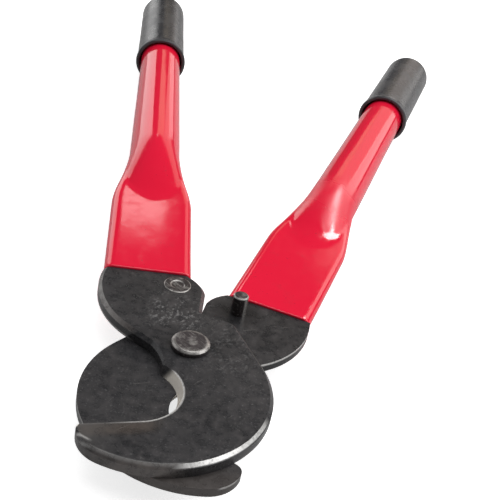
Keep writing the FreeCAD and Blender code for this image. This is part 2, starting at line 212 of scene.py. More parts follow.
def dome_size(station):
    radius = tube_radius(station)
    flattening = 1 - smooth_step(station, DOME_WIDE_END, TUBE_START)
    rise = smooth_step(station, DOME_START, TUBE_START)
    return (radius + DOME_EXTRA_WIDTH * flattening,
            DOME_HALF_HEIGHT + (radius - DOME_HALF_HEIGHT) * rise)


def stadium_reach(direction, half_width, half_height):
    """Distance from the middle of a flat section with round edges to its outline."""
    side = half_width - half_height
    across, up = abs(direction[0]), abs(direction[1])
    if up > 1e-9 and across * half_height <= side * up:
        return half_height / up
    return across * side + math.sqrt((across * side) ** 2 - side * side + half_height ** 2)


def oval_reach(direction, half_width, half_height):
    return 1 / math.hypot(direction[0] / half_width, direction[1] / half_height)


def handle_ring(station, inset, seed, crease):
    """Points around the left handle at one station, set in from its outer surface.

    The flat paddle of the socket and the rounded dome of the tube cross in a soft crease.
    """
    paddle = [size - inset for size in paddle_size(station)]
    dome = [size - inset for size in dome_size(station)]
    has_paddle = station < SHOULDER_END
    has_dome = station > DOME_START
    reach = crease * smooth_step(station, DOME_START, DOME_START + CREASE_FADE)
    reach *= 1 - smooth_step(station, SHOULDER_END - CREASE_FADE, SHOULDER_END)
    wide = max(paddle[0] if has_paddle else 0, dome[0] if has_dome else 0)
    high = max(paddle[1] if has_paddle else 0, dome[1] if has_dome else 0)
    centre = at_level(MOUTH[0], MOUTH[1], AXIS_LEVEL) + ALONG * station
    ring = []
    for spot in range(RING_POINTS):
        turn = 2 * math.pi * spot / RING_POINTS
        direction = Vector((wide * math.cos(turn), high * math.sin(turn))).normalized()
        if has_paddle and has_dome:
            radius = smooth_max(stadium_reach(direction, *paddle),
                                oval_reach(direction, *dome), reach)
        elif has_paddle:
            radius = stadium_reach(direction, *paddle)
        else:
            radius = oval_reach(direction, *dome)
        outward = ACROSS * direction.x + UP * direction.y
        point = centre + outward * radius
        if inset < WALL / 2:
            swell = noise.noise(point / SWELL_SIZE + Vector((seed, 0, 0)))
            point += outward * (SWELL * swell - SWELL_MIDDLE)
        ring.append(point)
    return ring


def handle_rings(seed, crease):
    """Rings over the handle's outside and back through its inside, from mouth to end."""
    rim = [(0.0, 0.75), (0.05, 0.45), (0.25, 0.18), (0.6, 0.04), (1.2, 0.0)]
    stations = [2.5 + 2.5 * index for index in range(20)]
    stations += [53.0 + 1.0 * index for index in range(72)]
    stations += [125.0 + 8.0 * index for index in range(26)]
    stations.append(TUBE_END)
    outer = [handle_ring(station, inset, seed, crease) for station, inset in rim]
    outer += [handle_ring(station, 0.0, seed, crease) for station in stations]
    inner_rim = [(0.3, WALL), (0.06, WALL - 0.12), (0.0, WALL - 0.35)]
    inner_stations = [station for station in reversed(stations) if station > 1.5]
    inner = [handle_ring(station, WALL, seed, crease) for station in inner_stations]
    inner += [handle_ring(station, inset, seed, crease) for station, inset in inner_rim]
    return outer + inner


# ---------------------------------------------------------------- turned shapes

TURNED_POINTS = 96


def axis_ring(station, radius, wobble=0.0, seed=0.0):
    """Ring about the left handle's axis, with a slight unevenness where one is asked for."""
    centre = at_level(MOUTH[0], MOUTH[1], AXIS_LEVEL) + ALONG * station
    ring = []
    for spot in range(TURNED_POINTS):
        turn = 2 * math.pi * spot / TURNED_POINTS
        spoke = ACROSS * math.cos(turn) + UP * math.sin(turn)
        uneven = wobble * noise.noise(spoke * 1.4 + Vector((seed, station * 0.05, 0)))
        ring.append(centre + spoke * (radius + uneven))
    return ring


def round_corner(centre_station, centre_radius, corner, start, end, steps):
    """Profile points of a rounded corner, in (station, radius)."""
    points = []
    for index in range(steps + 1):
        turn = math.radians(start + (end - start) * index / steps)
        points.append((centre_station + corner * math.sin(turn),
                       centre_radius + corner * math.cos(turn)))
    return points


def cap_rings(seed):
    """Rings over the cap's end, its barrel, its swollen lip and its bore."""
    end = [(CAP_END, 0.4), (CAP_END, 3.0), (CAP_END, 5.0)]
    end += round_corner(CAP_END - CAP_CORNER, CAP_TOP_RADIUS - CAP_CORNER, CAP_CORNER, 88, 2, 14)
    barrel = []
    steps = 22
    for index in range(1, steps + 1):
        share = index / steps
        station = CAP_END - CAP_CORNER - share * (CAP_END - CAP_CORNER - CAP_START - 6.5)
        barrel.append((station, CAP_TOP_RADIUS + (CAP_RADIUS - CAP_TOP_RADIUS) * share))
    lip = [(254.6, 15.24), (253.8, 15.36), (252.9, 15.6), (252.1, 15.86), (251.4, 16.02),
           (250.7, CAP_LIP_RADIUS), (250.0, 16.06), (249.5, 15.94), (249.15, 15.7),
           (CAP_START, 15.4), (CAP_START, 14.4), (249.1, 14.1), (249.4, 13.9),
           (250.0, CAP_LIP_BORE), (253.0, CAP_LIP_BORE), (253.6, 13.4), (254.0, CAP_BORE + 0.1),
           (254.6, CAP_BORE)]
    inside = [(262.0, CAP_BORE), (300.0, CAP_BORE), (TUBE_END + 0.05, CAP_BORE),
              (TUBE_END + 0.05, 6.0), (TUBE_END + 0.05, 0.4)]
    rings = [axis_ring(station, radius, wobble=0.05, seed=seed) for station, radius in end + barrel]
    rings += [axis_ring(station, radius, wobble=0.16 if radius > 14 else 0.0, seed=seed)
              for station, radius in lip]
    rings += [axis_ring(station, radius) for station, radius in inside]
    return rings


def level_ring(centre, level, radius, count=TURNED_POINTS):
    """Ring about a vertical axis. The radius is a number, or a function of the angle."""
    ring = []
    for spot in range(count):
        turn = 2 * math.pi * spot / count
        reach = radius(turn) if callable(radius) else radius
        ring.append(at_level(centre[0] + reach * math.cos(turn),
                             centre[1] + reach * math.sin(turn), level))
    return ring


def bolt_rings():
    """Rings of the bolt: head, square neck, shank and cut thread."""
    low, high = box_mm("pivot_bolt")
    head = high.x
    top = high.z - SHEAR
    bottom = low.z - SHEAR
    neck = 5.5
    thread = 5.0
    pitch = 1.5
    depth = 0.85

    def square(turn):
        return min(neck / max(abs(math.cos(turn)), abs(math.sin(turn))), neck * 1.36)

    profile = [(top, 0.4), (top, 3.0), (top, 6.0), (top - 0.01, 7.0), (top - 0.04, 7.5),
               (top - 0.12, 7.75), (top - 0.24, 7.92), (top - 0.86, head - 0.20),
               (top - 1.02, head - 0.07), (top - 1.22, head - 0.01), (top - 1.5, head),
               (PLATE + 0.22, head), (PLATE + 0.08, head - 0.05), (PLATE + 0.02, head - 0.2)]
    rings = [level_ring((0, 0), level, radius) for level, radius in profile]
    rings += [level_ring((0, 0), level, square) for level in (PLATE + 0.02, PLATE - 0.1, 3.0, 0.1)]
    rings += [level_ring((0, 0), level, neck) for level in (0.05, -3.0, -PLATE)]
    steps = int((-PLATE - 0.1 - bottom) / (pitch / 10))
    for index in range(steps):
        level = -PLATE - 0.1 - index * pitch / 10
        fade = min(1.0, (level - bottom) / 0.9, index / 8)

        def helix(turn, level=level, fade=fade):
            phase = (level / pitch - turn / (2 * math.pi)) % 1.0
            cut = max(0.0, min(1.0, (abs(phase - 0.5) * 2 - 0.12) / 0.76))
            return thread - depth * cut * fade - (1 - min(1.0, (level - bottom) / 0.8)) * 0.8

        rings.append(level_ring((0, 0), level, helix))
    rings.append(level_ring((0, 0), bottom, thread - 1.0))
    rings.append(level_ring((0, 0), bottom, 0.4))
    return rings


def pin_rings(node, head_up):
    """A headed pin: the head's dished face, the head, the body and the bevelled free end."""
    low, high = box_mm(node)
    centre = centre_xy(node)
    head = (high.x - low.x) / 2
    side = 1 if head_up else -1
    head_level, end_level = (high.z, low.z) if head_up else (low.z, high.z)
    top = (head_level - SHEAR) * side
    end = (end_level - SHEAR) * side
    body = 3.7
    profile = [(top - 0.35, 0.3), (top - 0.35, 2.6), (top - 0.32, 3.0), (top - 0.12, 3.35),
               (top - 0.02, 3.65), (top, 3.9), (top, 5.6), (top - 0.03, 6.0), (top - 0.12, 6.3),
               (top - 0.28, head - 0.08), (top - 0.5, head), (top - 1.65, head),
               (top - 1.8, head - 0.15), (top - 1.8, body + 0.2), (top - 1.95, body),
               (0.0, body), (end + 3.0, body), (end + 0.75, body), (end + 0.6, body - 0.03),
               (end + 0.45, body - 0.12), (end + 0.12, body - 0.48), (end + 0.03, body - 0.62),
               (end, body - 0.85), (end, 1.6), (end, 0.3)]
    return [level_ring(centre, level * side, radius, count=72) for level, radius in profile]


# ---------------------------------------------------------------- shapes kept from the frame

def clean_copy(node, name):
    """The node's own shape as a new mesh, without doubled points or split flats."""
    mesh = NODES[node].data.copy()
    mesh.name = name
    shape = bmesh.new()
    shape.from_mesh(mesh)
    bmesh.ops.remove_doubles(shape, verts=shape.verts, dist=0.004 * MM)
    bmesh.ops.dissolve_limit(shape, angle_limit=math.radians(0.6), verts=shape.verts,
                             edges=shape.edges)
    bmesh.ops.recalc_face_normals(shape, faces=shape.faces)
    shape.to_mesh(mesh)
    shape.free()
    mesh.shade_smooth()
    return mesh


def round_edges(piece, width):
    """Round the piece's edges when it is drawn, by the given width in millimetres."""
    bevel = piece.modifiers.new("rounded_edges", "BEVEL")
    bevel.width = width * MM
    bevel.segments = 2
    bevel.limit_method = "ANGLE"
    bevel.angle_limit = math.radians(ROUNDED_ANGLE)
    bevel.harden_normals = True
    bevel.use_clamp_overlap = True
    # large faces keep their own direction, so that no flat shades like a dent
    steady = piece.modifiers.new("steady_faces", "WEIGHTED_NORMAL")
    steady.weight = 100
    steady.keep_sharp = True


# ---------------------------------------------------------------- materials

class Shader:
    """A material whose nodes work in the piece's own millimetres."""

    def __init__(self, name):
        self.material = bpy.data.materials.new(name)
        self.material.use_nodes = True
        self.tree = self.material.node_tree
        self.tree.nodes.clear()
        output = self.node("ShaderNodeOutputMaterial")
        self.bsdf = self.node("ShaderNodeBsdfPrincipled")
        self.tree.links.new(self.bsdf.outputs[0], output.inputs[0])
        coordinates = self.node("ShaderNodeTexCoord").outputs["Object"]
        self.place = self.vector("MULTIPLY", coordinates, (1 / MM,) * 3)
        self.place = self.vector("SUBTRACT", self.place, (0, 0, SHEAR))
        turned = self.node("ShaderNodeVectorTransform")
        turned.vector_type = "NORMAL"
        turned.convert_from, turned.convert_to = "WORLD", "OBJECT"
        self.link(self.node("ShaderNodeNewGeometry").outputs["Normal"], turned.inputs[0])
        self.facing = turned.outputs[0]

    def node(self, kind):
        return self.tree.nodes.new(kind)

    def link(self, value, socket):
        if isinstance(value, bpy.types.NodeSocket):
            self.tree.links.new(value, socket)
        elif socket.type == "RGBA" and len(value) == 3:
            socket.default_value = (*value, 1)
        else:
            socket.default_value = value

    def math(self, operation, first, second=0.0, third=0.0):
        node = self.node("ShaderNodeMath")
        node.operation = operation
        for socket, value in zip(node.inputs, (first, second, third)):
            self.link(value, socket)
        return node.outputs[0]

    def vector(self, operation, first, second=(0, 0, 0)):
        node = self.node("ShaderNodeVectorMath")
        node.operation = operation
        self.link(first, node.inputs[0])
        self.link(second, node.inputs[1])
        return node.outputs["Value" if operation in ("LENGTH", "DISTANCE", "DOT_PRODUCT") else 0]

    def parts(self, vector):
        """The x, y and z of a vector."""
        node = self.node("ShaderNodeSeparateXYZ")
        self.link(vector, node.inputs[0])
        return node.outputs

    def ramp(self, value, start, end, low=0.0, high=1.0):
        """Smooth ramp between two values, held beyond them."""
        node = self.node("ShaderNodeMapRange")
        node.interpolation_type = "SMOOTHSTEP"
        for socket, number in zip(node.inputs, (value, start, end, low, high)):
            self.link(number, socket)
        return node.outputs[0]

    def noise(self, size, detail=3.0, roughness=0.55, place=None, shift=0.0, stretch=None):
        """Noise with features about the given size in millimetres, from 0 to 1."""
        where = self.vector("ADD", place or self.place, (shift, shift * 0.7, shift * 0.3))
        if stretch:
            where = self.vector("MULTIPLY", where, stretch)
        node = self.node("ShaderNodeTexNoise")
        self.link(where, node.inputs["Vector"])
        node.inputs["Scale"].default_value = 1 / size
        node.inputs["Detail"].default_value = detail
        node.inputs["Roughness"].default_value = roughness
        return node.outputs[0]

    def window(self, value, start, end, soft):
        """1 between two values and 0 beyond them, with soft ends."""
        return self.math("MULTIPLY", self.ramp(value, start - soft, start + soft),
                         self.ramp(value, end + soft, end - soft))

    def times(self, *values):
        product = values[0]
        for value in values[1:]:
            product = self.math("MULTIPLY", product, value)
        return product

    def largest(self, *values):
        result = values[0]
        for value in values[1:]:
            result = self.math("MAXIMUM", result, value)
        return result

    def polar(self, place, centre):
        """Distance from a centre in plan, and the angle about it in degrees from 0 to 360."""
        offset = self.vector("MULTIPLY", self.vector("SUBTRACT", place, (*centre, 0)), (1, 1, 0))
        x, y, _ = self.parts(offset)
        degrees = self.math("MULTIPLY", self.math("ARCTAN2", y, x), math.degrees(1))
        return self.vector("LENGTH", offset), self.math("FLOORED_MODULO", degrees, 360.0)

    def turned(self, degrees, place=None):
        """A place turned about the vertical axis."""
        node = self.node("ShaderNodeVectorRotate")
        node.rotation_type = "Z_AXIS"
        self.link(place or self.place, node.inputs["Vector"])
        node.inputs["Angle"].default_value = math.radians(degrees)
        return node.outputs[0]

    def mix(self, factor, first, second):
        """Blend of two colours."""
        node = self.node("ShaderNodeMix")
        node.data_type = "RGBA"
        self.link(factor, node.inputs["Factor"])
        self.link(first, node.inputs[6])
        self.link(second, node.inputs[7])
        return node.outputs[2]

    def blend(self, factor, first, second):
        """Blend of two numbers."""
        node = self.node("ShaderNodeMix")
        node.data_type = "FLOAT"
        self.link(factor, node.inputs["Factor"])
        self.link(first, node.inputs[2])
        self.link(second, node.inputs[3])
        return node.outputs[0]

    def bump(self, height, distance):
        """Bump on which a height of 1 stands out by the given distance in millimetres."""
        node = self.node("ShaderNodeBump")
        node.inputs["Strength"].default_value = 1.0
        node.inputs["Distance"].default_value = distance * MM
        self.link(height, node.inputs["Height"])
        return node.outputs[0]

    def set(self, **inputs):
        """Set or link inputs of the surface. Their names have underscores for spaces."""
        for name, value in inputs.items():
            self.link(value, self.bsdf.inputs[name.replace("_", " ")])


# ---- zones of a blade: start and end, in the plan of the upper blade ----
# across the plan, in millimetres
JAW_START_Y = (-17.5, -20.0)
TIP_TONE_X = (-12.0, -34.0)
LOWER_TIP_TONE_Y = (-58.0, -72.0)
PATCH_X, PATCH_Y = (-23.0, 1.0), (11.0, 35.0)
SPARSE_PATCH_X, SPARSE_PATCH_Y = (8.0, 30.0), (-14.0, 26.0)
# away from the lower stop pin, in millimetres: the reach of a painted shade about its foot
PIN_SHADE_RADIUS = (15.0, 7.0)
# away from the cutting edge, in millimetres
GROUND_DEPTH = (3.4, 2.6)
LIP_DEPTH = (1.3, 2.5)
RELIEF_DEPTH = (2.5, 9.5)
# away from the jaw's and the heel's centre, in millimetres
BACK_REACH = (43.0, 46.0)
TIP_GLINT_REACH = (46.4, 47.4)
CREST_REACH = (49.0, 50.2)
HEEL_REACH = (52.0, 48.0)
# about the jaw's centre, in degrees
BACK_RUBBED = (293.0, 349.0)
BACK_SCUFFED = (243.0, 293.0)
BACK_INNER_RUBBED = (322.0, 356.0)
# painted highlight on the lower blade's tip edge
TIP_INNER_GLINT = (240.0, 249.5)
# painted highlight at the upper blade's tip
TIP_GLINT = (239.5, 248.0)
CREST_LINE = (244.0, 296.0)
# about the heel's centre, in degrees
HEEL_ARC = (184.0, 243.0)

# ---- colours of a blade ----
BLACKING_DARK = (0.024, 0.024, 0.026)
BLACKING_LIGHT = (0.047, 0.046, 0.048)
BLACKING_MOTTLE = (0.072, 0.067, 0.069)
SPECK_GREY = (0.15, 0.147, 0.15)
SCRATCH_GREY = (0.22, 0.21, 0.20)
FLECK_GREY = (0.24, 0.235, 0.235)
RELIEF_BROWN = (0.100, 0.080, 0.067)
TIP_GREY = (0.12, 0.115, 0.112)
# painted shade about the lower stop pin's foot
PIN_SHADE = (0.008, 0.008, 0.009)
LOWER_TIP_BROWN = (0.075, 0.064, 0.058)
# painted shade on the heel's side wall
HEEL_WALL_SHADE = (0.010, 0.010, 0.011)
HEEL_BROWN = (0.105, 0.086, 0.076)
SCUFF_BROWN = (0.135, 0.120, 0.112)
STEEL_DULL = (0.66, 0.65, 0.635)
STEEL_BRIGHT = (0.92, 0.91, 0.89)
GROUND_DULL = (0.88, 0.82, 0.73)
GROUND_BRIGHT = (1.0, 0.95, 0.87)


def cutting_edge_distance(s, plan):
    """Distance from the cutting edge: the gullet's arc first, then the straight hook."""
    from_gullet = s.math("SUBTRACT", s.vector("DISTANCE", plan, (*GULLET_CENTRE, 0)), GULLET_RADIUS)
    slope = math.radians(HOOK_SLOPE)
    outward = Vector((math.sin(slope), -math.cos(slope), 0))
    run = Vector((-math.cos(slope), -math.sin(slope), 0))
    start = Vector((*GULLET_CENTRE, 0)) + outward * GULLET_RADIUS
    from_start = s.vector("SUBTRACT", plan, tuple(start))
    from_line = s.vector("DOT_PRODUCT", from_start, tuple(outward))
    beyond = s.ramp(s.vector("DOT_PRODUCT", from_start, tuple(run)), -0.1, 0.1)
    return s.blend(beyond, from_gullet, from_line)


def blade_zones(s, place, facing):
    """Masks of a blade's faces and edges, from the place and the normal of the upper blade."""
    x, y, z = s.parts(place)
    nz = s.parts(facing)[2]
    plan = s.vector("MULTIPLY", place, (1, 1, 0))
    edge = cutting_edge_distance(s, plan)
    jaw = s.ramp(y, *JAW_START_Y)
    flatness = s.math("ABSOLUTE", nz)
    jaw_reach, jaw_angle = s.polar(place, JAW_CENTRE)
    heel_reach, heel_angle = s.polar(place, HEEL_CENTRE)
    flat = s.ramp(nz, 0.86, 0.99)
    on_heel = s.times(s.ramp(heel_reach, *HEEL_REACH), s.window(heel_angle, *HEEL_ARC, 4.0))
    return SimpleNamespace(
        x=x, y=y, z=z, nz=nz, plan=plan, jaw=jaw, flat=flat,
        jaw_reach=jaw_reach, jaw_angle=jaw_angle, heel_angle=heel_angle,
        bevel=s.times(s.ramp(nz, 0.35, 0.6), s.ramp(nz, 0.97, 0.86)),
        crest=s.window(nz, 0.80, 0.95, 0.04),
        top_edge=s.ramp(nz, 0.3, 0.6),
        ground=s.times(s.ramp(edge, *GROUND_DEPTH), jaw, s.window(nz, -0.6, 0.8, 0.15)),
        relief=s.times(s.window(edge, *RELIEF_DEPTH, 2.5), s.ramp(x, 1.0, -9.0), jaw, flat),
        lip=s.times(s.window(edge, *LIP_DEPTH, 0.35), jaw, s.ramp(nz, 0.5, 0.8),
                    s.ramp(x, -26.0, -4.0, 0.10, 1.0)),
        on_back=s.ramp(jaw_reach, *BACK_REACH),
        on_heel=on_heel,
        shaded_heel_wall=s.times(on_heel, s.ramp(flatness, 0.5, 0.3)),
        inner_edge=s.times(s.ramp(z, 1.5, 0.5), s.ramp(flatness, 0.995, 0.9)))


def blade_scratches(s, place, seed):
    """Thin scratches in two directions, in places."""
    one = s.noise(1.0, 2, 0.5, s.turned(28, place), seed, (0.07, 2.4, 1))
    two = s.noise(1.0, 2, 0.5, s.turned(-52, place), seed + 4, (0.05, 2.0, 1))
    scratches = s.largest(s.ramp(one, 0.70, 0.76), s.ramp(two, 0.70, 0.78))
    return s.times(scratches, s.ramp(s.noise(14, 2, 0.5, place, seed + 3), 0.42, 0.6))


def blade_flecks(s, place, zone, seed):
    """Bright flecks rubbed into the face between the pivot and the handle, fewer beside it."""
    patch = s.times(s.window(zone.x, *PATCH_X, 4.0), s.window(zone.y, *PATCH_Y, 5.0), zone.flat)
    sparse = s.times(s.window(zone.x, *SPARSE_PATCH_X, 6.0),
                     s.window(zone.y, *SPARSE_PATCH_Y, 8.0), zone.flat, 0.4)
    fleck = s.noise(1.9, 4, 0.75, s.turned(20, place), seed + 13, (1.5, 0.9, 1))
    return s.times(s.math("ADD", patch, sparse), s.ramp(fleck, 0.51, 0.62),
                   s.ramp(s.noise(8, 2, 0.5, place, seed + 14), 0.34, 0.52))


def blade_wear_and_glints(s, place, zone, mottle, upper, seed):
    """Bare metal where the blades are rubbed, and painted highlights at the blades' tips."""
    uneven = s.ramp(s.noise(9, 4, 0.65, place, seed + 2), 0.34, 0.50)
    fine = s.ramp(s.noise(1.2, 3, 0.6, place, seed + 7), 0.30, 0.50, 0.65, 1.0)
    inner_back = s.times(zone.inner_edge, zone.on_back)
    wear_and_glint = s.largest(
        # the outer bevel of the jaw's back
        s.times(zone.bevel, zone.on_back, s.window(zone.jaw_angle, *BACK_RUBBED, 5.0),
                s.ramp(zone.z, 4.45, 4.85), s.blend(uneven, 0.8, 1.0)),
        # a painted highlight at the tip, and a thin line along the crest beside it
        s.times(s.window(zone.jaw_reach, *TIP_GLINT_REACH, 0.5),
                s.window(zone.jaw_angle, *TIP_GLINT, 2.0), zone.top_edge, 0.5),
        s.times(s.window(zone.jaw_reach, *CREST_REACH, 0.5),
                s.window(zone.jaw_angle, *CREST_LINE, 4.0), zone.top_edge,
                s.blend(uneven, 0.08, 0.22)),
        # the heel's outer bevel
        s.times(zone.bevel, zone.on_heel, s.ramp(zone.heel_angle, 236.0, 190.0, 0.08, 0.5),
                s.ramp(mottle, 0.35, 0.65, 0.45, 1.0)),
        # the edges of the inner face, more on the lower blade, and a painted highlight on the lower
        # blade's tip edge
        s.times(zone.inner_edge, zone.on_heel, 0.3 if upper else 0.95),
        s.times(inner_back, s.window(zone.jaw_angle, *BACK_INNER_RUBBED, 6.0),
                0.1 if upper else 0.35),
        s.times(inner_back, s.window(zone.jaw_angle, *TIP_INNER_GLINT, 1.5),
                0.0 if upper else 0.5),
        # the lip of the cutting edge and all other crests
        s.times(zone.lip, 0.85),
        s.times(zone.crest, s.blend(uneven, 0.08, 0.30)))
    return s.times(wear_and_glint, fine)


def forged_steel(name, side, seed):
    """Black finished forging with a worn outer bevel and a bright ground cutting edge, painted
    highlights at the tips and painted shade on the heel's wall and about the stop pin.

    The side is 1 for the upper blade and -1 for the lower one.
    """
    s = Shader(name)
    upper = side > 0
    # the lower blade is the upper one turned over, so its own place and normal are turned back
    place = s.vector("MULTIPLY", s.place, (side, 1, side))
    facing = s.vector("MULTIPLY", s.facing, (side, 1, side))
    zone = blade_zones(s, place, facing)
    blotch = s.noise(26, 4, 0.6, place, seed)
    mottle = s.noise(5, 5, 0.65, place, seed + 9)
    grain = s.noise(0.55, 3, 0.6, place, seed + 5)
    speck = s.ramp(s.noise(0.9, 3, 0.6, place, seed + 21), 0.60, 0.68)
    scratches = blade_scratches(s, place, seed)

    body = s.mix(s.ramp(blotch, 0.35, 0.65), BLACKING_DARK, BLACKING_LIGHT)
    body = s.mix(s.times(s.ramp(mottle, 0.42, 0.72), 0.7), body, BLACKING_MOTTLE)
    body = s.mix(s.times(speck, s.ramp(blotch, 0.40, 0.60, 0.25, 0.75)), body, SPECK_GREY)
    body = s.mix(s.times(scratches, 0.6), body, SCRATCH_GREY)
    body = s.mix(s.times(blade_flecks(s, place, zone, seed), 0.85), body, FLECK_GREY)
    body = s.mix(s.times(zone.relief, s.ramp(mottle, 0.2, 0.8, 0.45, 0.9)), body, RELIEF_BROWN)
    if upper:
        # the hook is rubbed lighter towards its tip
        tip = s.times(s.ramp(zone.x, *TIP_TONE_X), zone.jaw, zone.flat)
        body = s.mix(s.times(tip, 0.6), body, TIP_GREY)
    else:
        # a painted shade darkens the blade about the stop pin's foot, where the pin's shadow falls,
        # and the jaw's tip is browner
        pin = centre_xy("lower_stop_pin")
        from_pin = s.vector("DISTANCE", zone.plan, (-pin[0], pin[1], 0))
        body = s.mix(s.times(s.ramp(from_pin, *PIN_SHADE_RADIUS), 0.6), body, PIN_SHADE)
        tip = s.ramp(zone.y, *LOWER_TIP_TONE_Y)
        body = s.mix(s.times(tip, 0.6), body, LOWER_TIP_BROWN)
    # painted shade darkens the heel's side wall
    body = s.mix(s.times(zone.shaded_heel_wall, 0.7), body, HEEL_WALL_SHADE)
    body = s.mix(s.times(zone.on_heel, zone.bevel, 0.5), body, HEEL_BROWN)
    # the rim below the jaw's back is scuffed
    scuff = s.times(zone.on_back, s.window(zone.jaw_angle, *BACK_SCUFFED, 9.0),
                    s.ramp(zone.nz, 0.97, 0.85), s.ramp(mottle, 0.3, 0.7, 0.5, 1.0),
                    s.ramp(zone.jaw_angle, 246.0, 274.0, 0.45, 1.0), 1.0 if upper else 0.4)
    body = s.mix(scuff, body, SCUFF_BROWN)

    wear_and_glint = blade_wear_and_glints(s, place, zone, mottle, upper, seed)
    body = s.mix(wear_and_glint, body, s.mix(grain, STEEL_DULL, STEEL_BRIGHT))
    # the ground edge is bright, with grinding marks down its wall
    marks = s.noise(0.5, 2, 0.5, place, seed, (1, 1, 0.05))
    body = s.mix(zone.ground, body, s.mix(marks, GROUND_DULL, GROUND_BRIGHT))

    bare_and_glint = s.largest(wear_and_glint, zone.ground)
    rough = s.blend(bare_and_glint, s.ramp(mottle, 0.2, 0.8, 0.22, 0.38), s.ramp(grain, 0.2, 0.8, 0.26, 0.40))
    height = s.math("ADD", s.times(grain, 0.35), s.times(mottle, 0.7))
    height = s.math("SUBTRACT", height, s.times(scratches, 0.3))
    height = s.times(height, s.blend(zone.ground, 1.0, 0.25))
    s.set(Base_Color=body, Roughness=rough, Specular_IOR_Level=0.5,
          Metallic=s.blend(bare_and_glint, 0.30, s.blend(zone.ground, 0.55, 0.05)),
          Normal=s.bump(height, 0.06))
    return s.material


ENAMEL_DEEP = (0.79, 0.009, 0.038)
ENAMEL_LIGHT = (0.87, 0.012, 0.050)
ENAMEL_RUBBED = (0.70, 0.020, 0.045)
ENAMEL_NICK = (0.16, 0.010, 0.014)
# hands have dulled the gloss between two stations, with soft ends, and more on one handle
DULLED_ZONE = (94.0, 128.0, 12.0)
DULLED_SHARE = {"left": 0.25, "right": 1.0}


def red_enamel(name, side, seed):
    """Glossy baked enamel over pressed tube, with light orange peel, dust nicks and rub marks."""
    s = Shader(name)
    mirror = -1 if side == "right" else 1
    from_mouth = s.vector("SUBTRACT", s.place, (MOUTH[0] * mirror, MOUTH[1], 0))
    station = s.vector("DOT_PRODUCT", from_mouth, (ALONG.x * mirror, ALONG.y, 0))
    tone = s.noise(60, 3, 0.5, None, seed)
    peel = s.noise(1.7, 2, 0.5, None, seed)
    wave = s.noise(14, 2, 0.5, None, seed + 3)
    fleck = s.ramp(s.noise(1.1, 2, 0.5, None, seed + 6), 0.70, 0.74)
    fleck = s.times(fleck, s.ramp(s.noise(24, 2, 0.5, None, seed + 1), 0.5, 0.62))
    rub = s.ramp(s.noise(10, 5, 0.7, None, seed + 8), 0.55, 0.75)
    # the dulled zone's ends wander, so that no ring shows
    drift = s.math("MULTIPLY_ADD", s.noise(30, 2, 0.5, None, seed + 4), 30.0, -15.0)
    dulled = s.times(s.window(s.math("ADD", station, drift), *DULLED_ZONE), DULLED_SHARE[side])
    smear = s.ramp(s.noise(6, 4, 0.65, None, seed + 12), 0.50, 0.66)
    colour = s.mix(tone, ENAMEL_DEEP, ENAMEL_LIGHT)
    colour = s.mix(s.times(rub, 0.35), colour, ENAMEL_RUBBED)
    colour = s.mix(s.times(fleck, 0.7), colour, ENAMEL_NICK)
    height = s.math("ADD", s.times(peel, 0.12), wave)
    height = s.math("SUBTRACT", height, s.times(fleck, 0.2))
    gloss = s.math("MULTIPLY_ADD", rub, 0.06, 0.08)
    gloss = s.math("MULTIPLY_ADD", smear, 0.05, gloss)
    s.set(Base_Color=colour, Roughness=s.math("MULTIPLY_ADD", dulled, 0.22, gloss),
          Specular_IOR_Level=0.5, Normal=s.bump(height, 0.05))
    return s.material


VINYL_DARK = (0.035, 0.034, 0.036)
VINYL_LIGHT = (0.054, 0.053, 0.055)
VINYL_RUBBED = (0.14, 0.13, 0.125)
VINYL_SHEEN = (0.86, 0.94, 1.0)
# the right cap is painted lighter than the left
CAP_LIGHTNESS = {"left": 1.0, "right": 1.5}


def vinyl(name, seed, lightness):
    """Charcoal moulded cap: fine grain, faint rub marks and a dusty bloom."""
    s = Shader(name)
    grain = s.noise(0.5, 3, 0.6, None, seed)
    bloom = s.ramp(s.noise(16, 4, 0.6, None, seed + 2), 0.35, 0.7)
    rub = s.ramp(s.noise(2.0, 3, 0.6, None, seed + 5, (1, 0.12, 1)), 0.60, 0.72)
    dark, light = (tuple(lightness * share for share in shade)
                   for shade in (VINYL_DARK, VINYL_LIGHT))
    colour = s.mix(bloom, dark, light)
    colour = s.mix(s.times(rub, 0.35), colour, VINYL_RUBBED)
    height = s.math("ADD", grain, s.times(s.noise(7, 3, 0.5, None, seed + 9), 2.0))
    s.set(Base_Color=colour, Roughness=s.ramp(bloom, 0.0, 1.0, 0.24, 0.36),
          Specular_IOR_Level=0.5, Specular_Tint=VINYL_SHEEN, Normal=s.bump(height, 0.05))
    return s.material


TURNED_BRIGHT = (0.62, 0.60, 0.57)
NO_RIM = 99.0


